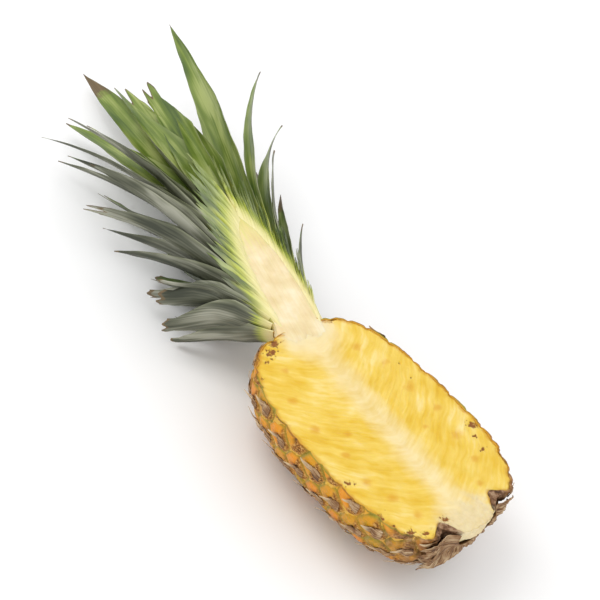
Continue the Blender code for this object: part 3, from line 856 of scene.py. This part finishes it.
def build_stem(look):
    """The halved stem: for each height a level cut across and a half round beneath it, whose
    depth is the power 0.8 of a sine.

    The cut is wider than the pith by the fused leaf bases at both sides, and long ridges
    run up it. The foot dips below the flesh of the core, so no step shows between them.
    """
    rows, across_count, under_count = 150, 64, 26
    height = np.linspace(-STEM_DIP, STEM_REACH, rows)[:, None]
    above = np.clip(height / STEM_REACH, 0.0, 1.0)
    flare = 3.0 * MM * bell(height + 2.0 * MM, 9.0 * MM)
    body = stem_radius(np.maximum(height, 0.0)) * 0.96
    left = body + flare + 5.0 * MM * smooth(4.0 * MM, 26.0 * MM, height) * (1.0 - above)
    right = body + flare * 0.6 + 3.0 * MM * smooth(4.0 * MM, 26.0 * MM, height) * (1.0 - above)
    left, right = np.maximum(left, 0.5 * MM), np.maximum(right, 0.5 * MM)
    q = np.linspace(-1.0, 1.0, across_count)[None, :]
    side = np.where(q < 0.0, q * left, q * right)
    grain = np.stack([side / (1.6 * MM), height / (26.0 * MM) + 0.0 * side, 0.0 * side], axis=-1)
    ridges = ripple(grain, 4.0, 91)
    verge = smooth(0.50, 0.98, np.abs(q)) * smooth(2.0 * MM, 16.0 * MM, height)
    verge = np.maximum(verge, smooth(0.60, 1.0, above))
    relief = (0.10 + 0.45 * verge) * MM * ridges
    relief += 0.2 * MM - 0.9 * MM * smooth(-1.0 * MM, -STEM_DIP, height + 2.0 * MM * ridges)
    relief -= 1.4 * MM * smooth(0.72, 1.0, above) + 1.0 * MM * smooth(0.6, 1.0, np.abs(q))
    relief -= 0.9 * MM * smooth(0.85, 1.0, np.abs(q)) * smooth(6.0 * MM, 0.0, height)
    top = from_stem(height, side, 0.0)
    top[..., 2] += relief

    psi = np.linspace(0.0, math.pi, under_count + 2)[1:-1][None, :]
    middle, half = (right - left) / 2.0, (right + left) / 2.0
    deep = np.maximum(body - 1.0 * MM, 0.4 * MM)
    hollow = from_stem(height, middle + half * np.cos(psi), 0.0)
    hollow[..., 2] -= 1.0 * MM + deep * np.sin(psi) ** 0.8
    rings = np.concatenate([top, hollow], axis=1)

    def ring(values):
        values = values + 0.0 * side
        return np.concatenate([values, np.repeat(values[:, -1:], under_count, axis=1)], axis=1)[None]

    fields = {"along": ring(height), "across": ring(side), "verge": ring(verge),
              "high": ring(smooth(0.45, 0.95, above))}
    piece = skin("crown_stem_cut", rings, fields)
    return finish(piece, look, "stem_pith", "crown_stem")


def stem_path(foot, length, foot_tilt, tip_tilt, start):
    """A leaf's midrib as heights and distances out: its tilt grows with the power 1.3."""
    fine = np.linspace(0.0, 1.0, 241)
    tilt = np.radians(foot_tilt) + np.radians(tip_tilt - foot_tilt) * fine**1.3
    step = length / (len(fine) - 1)
    climb = foot + step * np.concatenate([[0.0], np.cumsum(np.cos(tilt[1:]))])
    reach = start + step * np.concatenate([[0.0], np.cumsum(np.sin(tilt[1:]))])
    return fine, climb, reach, tilt


def build_leaf(number, row, look):
    """One crown leaf.

    The blade follows its midrib and wraps round the stem at the midrib's distance. Across,
    it is a gutter whose depth falls off with the square of the distance from the midrib, and
    it rolls about its midrib more towards its tip. Its margins wave, it is thick at the foot
    and thin at the margins, tears shorten some of its columns, and low blunt ends droop.
    """
    turn_deg, foot_mm, length_mm, width_mm, foot_tilt, tip_tilt, tear_mm, brown_mm = row
    rows, columns = 64, 15
    draw = np.random.default_rng(200 + number)
    foot, length, width = foot_mm * MM, length_mm * MM, width_mm * MM
    fine, climb, reach, tilt = stem_path(
        foot, length, foot_tilt, tip_tilt, stem_radius(foot) + LEAF_START)
    q = np.linspace(-1.0, 1.0, columns)[None, :]
    phase = draw.uniform(-0.12, 0.12)
    tear = 1.0 - tear_mm / length_mm * (0.5 + 0.5 * np.cos(2.0 * math.pi * (q + phase)))
    tear = tear + 0.25 * tear_mm / length_mm * q * (1.0 if draw.uniform() < 0.5 else -1.0)
    level = np.linspace(0.0, 1.0, rows)[:, None]
    share = np.clip(level * tear, 0.0, 1.0)
    belly = 0.8 + 0.2 * np.sin(np.pi * np.minimum(level / 0.8, 1.0))
    if tear_mm:
        tip = np.maximum((1.0 - level**3.2) ** 0.6, BLUNT_TIP)
    else:
        tip = np.maximum((1.0 - level**2.4) ** 0.85, SHARP_TIP)
    spread_out = width * belly * tip
    height = np.interp(share, fine, climb)
    out = np.interp(share, fine, reach)
    slope = np.interp(share, fine, tilt)

    wander = np.stack([length * level / (26.0 * MM) + 0.0 * q, q + 0.0 * level,
                       np.full(share.shape, number * 3.7)], axis=-1)
    gutter = spread_out * (0.16 * smooth(0.05, 0.35, level) + 0.05 * ripple(wander, 5.0, 300))
    twist = ROLLS.get(number, draw.uniform(-0.5, 0.4)) * smooth(0.1, 0.7, level)
    push = gutter * (0.45 - q**2) + 0.5 * spread_out * q * np.sin(twist)
    push = push + 0.9 * MM * np.abs(q) ** 3 * ripple(wander, 2.2, 301 + number)
    height = height - push * np.sin(slope)
    out = np.maximum(out + push * np.cos(slope), stem_radius(height) + LEAF_TO_STEM)
    half_turn = np.minimum(spread_out * np.cos(twist) / 2.0 / out, LEAF_WRAP)
    margin = LEAF_TO_CUT / out
    sway = math.radians(2.5) * np.sin(2.6 * level + number) * level
    turn = math.radians(turn_deg) + sway
    low = np.clip(turn - half_turn, math.pi + margin, 2.0 * math.pi - 3.0 * margin)
    high = np.clip(turn + half_turn, math.pi + 3.0 * margin, 2.0 * math.pi - margin)
    middle = settle(from_stem(height, out, low + (high - low) * (q + 1.0) / 2.0))
    middle[..., 2] -= DROOPS.get(number, 0.0) * MM * smooth(0.50, 1.0, level)
    outward = from_stem(height, out + 1.0, turn) - from_stem(height, out, turn)
    body = (0.55 + 1.5 * np.exp(-level * length / (16.0 * MM))) * np.sqrt(1.0 - 0.93 * q**2)
    thickness = body * MM * (1.0 - 0.75 * level**4)
    rings = sheet_rings(middle, thickness, outward)
    rings[..., 2] = np.maximum(rings[..., 2], FLOOR_SKIN)

    run = share * length
    brown = smooth(1.15 * brown_mm * MM, 0.35 * brown_mm * MM, (tear - share) * length)
    pale = smooth(15.0 * MM + 0.6 * foot, 0.0, run)
    age = np.clip((1.0 - foot_mm / 62.0) * 1.1, 0.0, 1.0)
    fields = {"along": run + 0.21 * number, "across": q * spread_out / 2.0 + 0.013 * number,
              "brown": brown + 0.0 * q, "pale": pale + 0.0 * q,
              "age": np.full(share.shape, age),
              "margin": smooth(0.80, 0.98, np.abs(q)) * (1.0 - level)}
    fields = {name: both_faces(values + 0.0 * share)[None] for name, values in fields.items()}
    fields["under"] = outer_face(share)[None]
    name = f"leaf_{number:02d}"
    return finish(skin(f"{name}_blade", rings, fields), look, "leaf", name)


def build_cut_bases(look):
    """Leaf bases sliced by the knife: one ruffled sheet at each side of the stem, in the cut.

    A ring of the sheet starts on the pith's edge and runs out along a path as a leaf's does,
    and the rings climb the stem. Parabolas across the rings raise one ridge for each sliced
    base, and the rings grow longer towards the middle of a ridge, so it ends in a point.
    """
    rows, bases, rings_each = 40, 30, 7
    sheets = []
    fields = {name: [] for name in ("along", "across", "pale", "brown", "age", "under", "margin")}
    draw = np.random.default_rng(23)
    share = np.linspace(0.0, 1.0, rows)[None, :]
    for side, foot_tilt, tip_tilt in ((-1.0, 15.0, 40.0), (1.0, 8.0, 27.0)):
        climb_share = ((np.arange(bases * rings_each) + 0.5) / (bases * rings_each))[:, None]
        base = np.floor(climb_share * bases).astype(int)
        within = 2.0 * (climb_share * bases - base) - 1.0
        length = draw.uniform(30.0, 58.0, bases)[base] * MM
        length = length * (1.0 - 0.55 * np.abs(within) ** 1.2)
        foot = (1.0 + 95.0 * climb_share) * MM
        lean = 1.0 - 0.60 * climb_share
        tilt = np.radians(lean * (foot_tilt + (tip_tilt - foot_tilt) * share**1.3))
        start = np.maximum(stem_radius(foot) * 0.84 - 1.0 * MM, 0.3 * MM)
        height = foot + np.cumsum(np.cos(tilt), axis=1) * length / rows
        out = start + np.cumsum(np.sin(tilt), axis=1) * length / rows
        middle = from_stem(height, side * out, 0.0)
        ridge = (1.0 - within**2) * 1.5 * smooth(0.0, 0.25, share)
        middle[..., 2] += (ridge - 1.1 - 1.4 * share**2) * MM
        wave = ripple(np.stack([height, out, 0.0 * out], axis=-1), 16.0 * MM, 27)
        middle[..., 2] += 0.6 * MM * wave * share
        thickness = (1.6 - 1.2 * share + 0.0 * out) * MM
        sheets.append(sheet_rings(middle, thickness, np.array([0.0, 0.0, 1.0])))
        shade = draw.uniform(0.0, 1.0, (2, bases))
        full = np.zeros(out.shape)
        fields["along"].append(both_faces(share * length + 0.3 * side))
        fields["across"].append(both_faces(full + 34.0 * MM * climb_share))
        fields["pale"].append(both_faces(full + smooth(
            1.15, 0.15, (share * length + 12.0 * MM * climb_share) / (46.0 * MM))))
        fields["brown"].append(both_faces(full))
        fields["age"].append(both_faces(full + shade[0][base] * (1.0 - 0.7 * climb_share)))
        fields["margin"].append(both_faces(full + 0.5 * smooth(0.75, 1.0, np.abs(within))))
        fields["under"].append(both_faces(full + 0.8 * shade[1][base] * (1.0 - climb_share)))
    piece = skin("cut_leaf_bases", np.stack(sheets), {n: np.stack(v) for n, v in fields.items()})
    return finish(piece, look, "leaf")


# ---------------------------------------------------------------- floor, lights and camera

AZIMUTH = math.radians(25.0)
ELEVATION = math.radians(42.4)
ROLL = math.radians(27.6)
LENS = 160.0                           # in mm, on a sensor of SENSOR mm
SENSOR = 36.0
CAMERA_DISTANCE = 1.506
AIM_RIGHT, AIM_UP = -0.0469, 0.0704    # where the camera aims, from the middle of the cut face
LIGHT_AIM = Vector((-0.08, 0.02, 0.03))
FLOOR_REACH = 4.0
WORLD_STRENGTH = 0.95


def view_axes():
    """The camera's right, up and back directions: azimuth 0 looks along +Y, then it rolls."""
    back = Vector((math.sin(AZIMUTH) * math.cos(ELEVATION),
                   -math.cos(AZIMUTH) * math.cos(ELEVATION), math.sin(ELEVATION)))
    level = Vector((math.cos(AZIMUTH), math.sin(AZIMUTH), 0.0))
    upright = back.cross(level)
    right = level * math.cos(ROLL) + upright * math.sin(ROLL)
    return right, back.cross(right), back


def build_camera():
    """A long lens that looks down on the cut face, rolled so that the crown points up left."""
    right, up, back = view_axes()
    target = Vector((0.0, 0.0, CUT_HEIGHT)) + right * AIM_RIGHT + up * AIM_UP
    camera = bpy.data.objects.new("camera", bpy.data.cameras.new("camera"))
    camera.data.lens = LENS
    camera.data.sensor_width = SENSOR
    camera.data.clip_start = 0.01
    turn = Matrix((right, up, back)).transposed().to_4x4()
    camera.matrix_world = Matrix.Translation(target + back * CAMERA_DISTANCE) @ turn
    bpy.context.scene.collection.objects.link(camera)
    bpy.context.scene.camera = camera


def build_light(name, place, size, power):
    """A square soft box that looks at the fruit."""
    light = bpy.data.lights.new(name, "AREA")
    light.size = size
    light.energy = power
    box = bpy.data.objects.new(name, light)
    box.location = place
    box.rotation_euler = (LIGHT_AIM - Vector(place)).to_track_quat("-Z", "Y").to_euler()
    bpy.context.scene.collection.objects.link(box)


def build_studio():
    """A white floor and world, a soft box high on the crown's near side and a weaker one low."""
    mesh = bpy.data.meshes.new("floor")
    corners = [(x * FLOOR_REACH, y * FLOOR_REACH, 0.0) for x, y in ((-1, -1), (1, -1), (1, 1), (-1, 1))]
    mesh.from_pydata(corners, [], [(0, 1, 2, 3)])
    floor = bpy.data.objects.new("floor", mesh)
    bpy.context.scene.collection.objects.link(floor)
    floor.data.materials.append(floor_look())
    world = bpy.data.worlds.new("studio")
    world.use_nodes = True
    sky = world.node_tree.nodes["Background"]
    sky.inputs["Color"].default_value = paint("#ffffff")
    sky.inputs["Strength"].default_value = WORLD_STRENGTH
    bpy.context.scene.world = world
    build_light("key", (-0.9, -0.5, 1.5), 1.0, 9.0)
    build_light("fill", (0.9, -1.3, 0.5), 1.2, 4.0)
    bpy.context.scene.view_settings.view_transform = "Standard"


def build():
    """Every piece of the half pineapple, then the studio round it."""
    leaf, bract = leaf_look(), bract_look()
    build_rind(rind_look())
    build_flesh(flesh_look())
    build_rind_bracts(bract)
    build_base_bracts(bract)
    build_stem(stem_look())
    for number, row in enumerate(LEAVES, start=1):
        build_leaf(number, row, leaf)
    build_cut_bases(leaf)
    build_studio()
    build_camera()


build()
